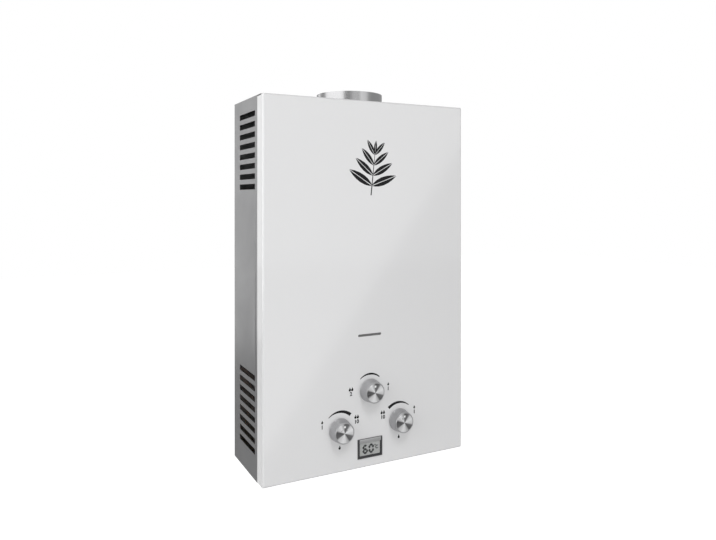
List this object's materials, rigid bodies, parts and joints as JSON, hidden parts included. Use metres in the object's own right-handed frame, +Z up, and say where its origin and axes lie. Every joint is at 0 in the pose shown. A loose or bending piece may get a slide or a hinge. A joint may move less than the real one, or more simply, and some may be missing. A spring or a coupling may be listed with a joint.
{
  "type": "tankless gas water heater",
  "caption": "Wall-hung instantaneous gas water heater: flat front cover with three knobs and a small display, side louvres, round flue collar on top and threaded connections below.",
  "frame": {"origin": "midway between the two upper hanging holes, on the wall plane", "axes": "+X to the viewer's right, +Y into the wall, +Z up"},
  "size_m": [0.325, 0.1475, 0.565],
  "materials": {
    "front_enamel": "glossy baked enamel",
    "side_sheet": "satin silver-grey coating",
    "galvanised": "zinc-coated sheet",
    "flue_metal": "bright spun metal",
    "copper": "bare copper",
    "brass": "machined brass",
    "cast_alloy": "die-cast alloy",
    "spring_steel": "plain steel",
    "screw_steel": "zinc-plated screws",
    "rubber": "black rubber",
    "knob_metal": "satin metallic plating",
    "spun_metal": "circular spun finish",
    "bezel_metal": "satin metal frame",
    "lens": "clear lens",
    "window_glass": "heat-proof glass",
    "black_plastic": "moulded black plastic",
    "ceramic": "white glazed ceramic",
    "cell_wrap": "plain cell sleeve"
  },
  "bodies": {
    "casing": {"back_plate": "galvanised", "batteries": "cell_wrap", "battery_box": "black_plastic", "bottom_plate": "galvanised", "burner_blades": "galvanised", "burner_tray": "galvanised", "casing_screws": "screw_steel", "chamber_brackets": "galvanised", "cold_inlet_connector": "brass", "cold_pipe": "copper", "combustion_chamber": "copper", "diaphragm": "rubber", "diaphragm_cover": "brass", "diaphragm_screws": "screw_steel", "display_bezel": "bezel_metal", "display_lens": "lens", "display_module": "black_plastic", "draught_hood": "galvanised", "electrodes": "ceramic", "exchanger_tube": "copper", "fin_block": "copper", "flue_collar": "flue_metal", "front_panel": "front_enamel", "gas_inlet_connector": "brass", "gas_manifold": "galvanised", "gas_riser": "cast_alloy", "gas_valve_body": "cast_alloy", "gas_valve_cap": "cast_alloy", "hot_outlet_connector": "brass", "hot_pipe": "copper", "ignition_leads": "rubber", "injector_nozzles": "brass", "left_side_panel": "side_sheet", "lock_nuts": "brass", "manifold_brackets": "galvanised", "microswitch": "black_plastic", "overheat_cutout": "black_plastic", "poppet_spring": "spring_steel", "pulse_igniter": "black_plastic", "right_side_panel": "side_sheet", "season_valve_body": "cast_alloy", "solenoid_coil": "black_plastic", "top_panel": "side_sheet", "view_window": "window_glass", "water_valve_body": "brass"},
    "gas_knob": {"gas_knob": "knob_metal", "gas_knob_cap": "spun_metal", "gas_spindle": "brass"},
    "water_knob": {"water_knob": "knob_metal", "water_knob_cap": "spun_metal", "water_spindle": "brass"},
    "season_knob": {"season_knob": "knob_metal", "season_knob_cap": "spun_metal", "season_spindle": "brass"},
    "push_rod": {"push_rod": "brass", "gas_poppet": "rubber"},
    "microswitch_lever": {"microswitch_lever": "spring_steel"},
    "solenoid_plunger": {"solenoid_plunger": "spring_steel"},
    "battery_door": {"battery_door": "black_plastic"},
    "drain_valve": {"drain_valve": "black_plastic"}
  },
  "joints": [
    {"name": "gas_knob_turn", "type": "hinge", "parent": "casing", "child": "gas_knob", "pos_m": [-0.0485, -0.13, -0.409], "axis": [0, 1, 0], "range_deg": [-45, 45]},
    {"name": "water_knob_turn", "type": "hinge", "parent": "casing", "child": "water_knob", "pos_m": [0.0485, -0.13, -0.409], "axis": [0, 1, 0], "range_deg": [-45, 45]},
    {"name": "season_knob_turn", "type": "hinge", "parent": "casing", "child": "season_knob", "pos_m": [0, -0.13, -0.359], "axis": [0, 1, 0], "range_deg": [-45, 45]},
    {"name": "push_rod_slide", "type": "slide", "parent": "casing", "child": "push_rod", "axis": [-1, 0, 0], "range_m": [0, 0.004], "stiffness_N_per_m": 400, "springref_m": -0.005, "deforming": ["poppet_spring", "diaphragm"]},
    {"name": "microswitch_lever_turn", "type": "hinge", "parent": "casing", "child": "microswitch_lever", "pos_m": [-0.015, -0.074, -0.393], "axis": [0, 1, 0], "range_deg": [0, 24]},
    {"name": "solenoid_plunger_slide", "type": "slide", "parent": "casing", "child": "solenoid_plunger", "axis": [0, 1, 0], "range_m": [0, 0.003], "stiffness_N_per_m": 200, "springref_m": -0.004},
    {"name": "battery_door_hinge", "type": "hinge", "parent": "casing", "child": "battery_door", "pos_m": [0.1108, -0.064, -0.4688], "axis": [0, 1, 0], "range_deg": [0, 90]},
    {"name": "drain_valve_turn", "type": "hinge", "parent": "casing", "child": "drain_valve", "pos_m": [0.036, -0.074, -0.45], "axis": [0, 0, 1], "range_deg": [0, 270]}
  ],
  "couplings": [
    {"joint": "microswitch_lever_turn", "follows": "push_rod_slide", "rad_per_m": 97.561}
  ]
}
